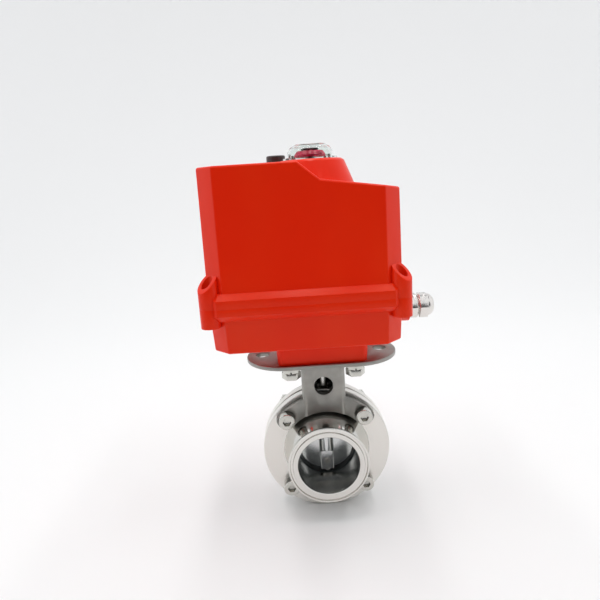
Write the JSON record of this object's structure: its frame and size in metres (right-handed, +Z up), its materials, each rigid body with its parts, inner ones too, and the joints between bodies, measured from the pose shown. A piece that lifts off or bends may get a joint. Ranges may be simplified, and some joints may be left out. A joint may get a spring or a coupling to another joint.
{
  "type": "motorized butterfly valve",
  "caption": "Electric quarter-turn actuator in a red two-part housing with a domed position indicator, bolted through a bracket to a sanitary butterfly valve.",
  "frame": {"origin": "where the stem axis crosses the pipe axis, in the middle of the valve body", "axes": "+Z up the stem to the actuator, Y along the pipe with the front port at -Y, +X towards the cable gland"},
  "size_m": [0.1771, 0.112, 0.2971],
  "materials": {
    "red_plastic": "moulded, semi-gloss, fine draw marks",
    "polished_steel": "mirror polished stainless steel",
    "satin_steel": "turned satin stainless steel",
    "cast_steel": "cast and blasted stainless steel",
    "bolt_steel": "stainless fasteners",
    "nickel": "nickel plated brass",
    "clear_plastic": "clear moulded plastic",
    "crimson_plastic": "gloss crimson",
    "dark_plastic": "fine matt",
    "white_plastic": "matt white",
    "black_rubber": "matt moulded rubber",
    "seat_rubber": "dark silicone rubber",
    "ptfe": "waxy white",
    "gear_steel": "machined and oiled",
    "brass": "machined",
    "zinc_plate": "zinc plated sheet",
    "motor_steel": "drawn and plated",
    "board_green": "solder resist",
    "nameplate_foil": "brushed foil"
  },
  "bodies": {
    "housing": {"front_body_half": "polished_steel", "rear_body_half": "polished_steel", "valve_seat": "seat_rubber", "stem_bushes": "ptfe", "upper_body_bolts": "bolt_steel", "lower_body_bolts": "bolt_steel", "body_nuts": "bolt_steel", "mounting_bracket": "cast_steel", "bracket_flat_washers": "bolt_steel", "bracket_spring_washers": "bolt_steel", "bracket_bolts": "bolt_steel", "base_housing": "red_plastic", "cover_gasket": "black_rubber", "top_cover": "red_plastic", "cover_screws": "bolt_steel", "lower_shaft_bush": "brass", "shaft_seal": "black_rubber", "gear_plate": "zinc_plate", "upper_shaft_bush": "brass", "plate_spacers": "zinc_plate", "plate_screws": "bolt_steel", "motor_gearbox": "motor_steel", "motor_can": "motor_steel", "run_capacitor": "white_plastic", "closed_switch": "dark_plastic", "open_switch": "dark_plastic", "switch_bracket": "zinc_plate", "circuit_board": "board_green", "terminal_block": "dark_plastic", "terminal_screws": "bolt_steel", "board_screws": "bolt_steel", "gland_body": "nickel", "gland_nut": "nickel", "gland_sleeve": "black_rubber", "gland_locknut": "nickel", "indicator_dome": "clear_plastic", "dome_screws": "bolt_steel", "override_cap": "black_rubber", "nameplate": "nameplate_foil"},
    "valve_drive": {"output_shaft": "gear_steel", "output_gear": "gear_steel", "gear_key": "gear_steel", "closed_cam": "white_plastic", "open_cam": "white_plastic", "indicator_drum": "crimson_plastic", "indicator_pointer": "white_plastic", "indicator_cap": "dark_plastic", "stem_coupling": "satin_steel", "valve_stem": "satin_steel", "valve_disc": "polished_steel", "disc_screw": "bolt_steel"},
    "override_train": {"override_shaft": "gear_steel", "second_gear": "gear_steel"},
    "intermediate_train": {"intermediate_shaft": "gear_steel", "first_gear": "brass"},
    "motor_rotor": {"motor_pinion": "brass"},
    "closed_button": {"closed_switch_button": "crimson_plastic"},
    "open_button": {"open_switch_button": "crimson_plastic"}
  },
  "joints": [
    {"name": "valve_turn", "type": "hinge", "parent": "housing", "child": "valve_drive", "pos_m": [0, 0, 0], "axis": [0, 0, 1], "range_deg": [0, 90]},
    {"name": "override_turn", "type": "hinge", "parent": "housing", "child": "override_train", "pos_m": [-0.02652, 0.02652, 0.11], "axis": [0, 0, 1], "range_deg": [-360, 0]},
    {"name": "intermediate_turn", "type": "hinge", "parent": "housing", "child": "intermediate_train", "pos_m": [-0.04794, 0.01872, 0.125], "axis": [0, 0, 1], "range_deg": [0, 1350]},
    {"name": "motor_turn", "type": "hinge", "parent": "housing", "child": "motor_rotor", "pos_m": [-0.04794, 0.00072, 0.135], "axis": [0, 0, 1], "range_deg": [-5400, 0]},
    {"name": "closed_button_press", "type": "slide", "parent": "housing", "child": "closed_button", "axis": [1, 0, 0], "range_m": [0, 0.0008], "stiffness_N_per_m": 300},
    {"name": "open_button_press", "type": "slide", "parent": "housing", "child": "open_button", "axis": [1, 0, 0], "range_m": [0, 0.0008], "stiffness_N_per_m": 300}
  ],
  "couplings": [
    {"joint": "override_turn", "follows": "valve_turn", "ratio": -4},
    {"joint": "intermediate_turn", "follows": "valve_turn", "ratio": 15},
    {"joint": "motor_turn", "follows": "valve_turn", "ratio": -60}
  ]
}
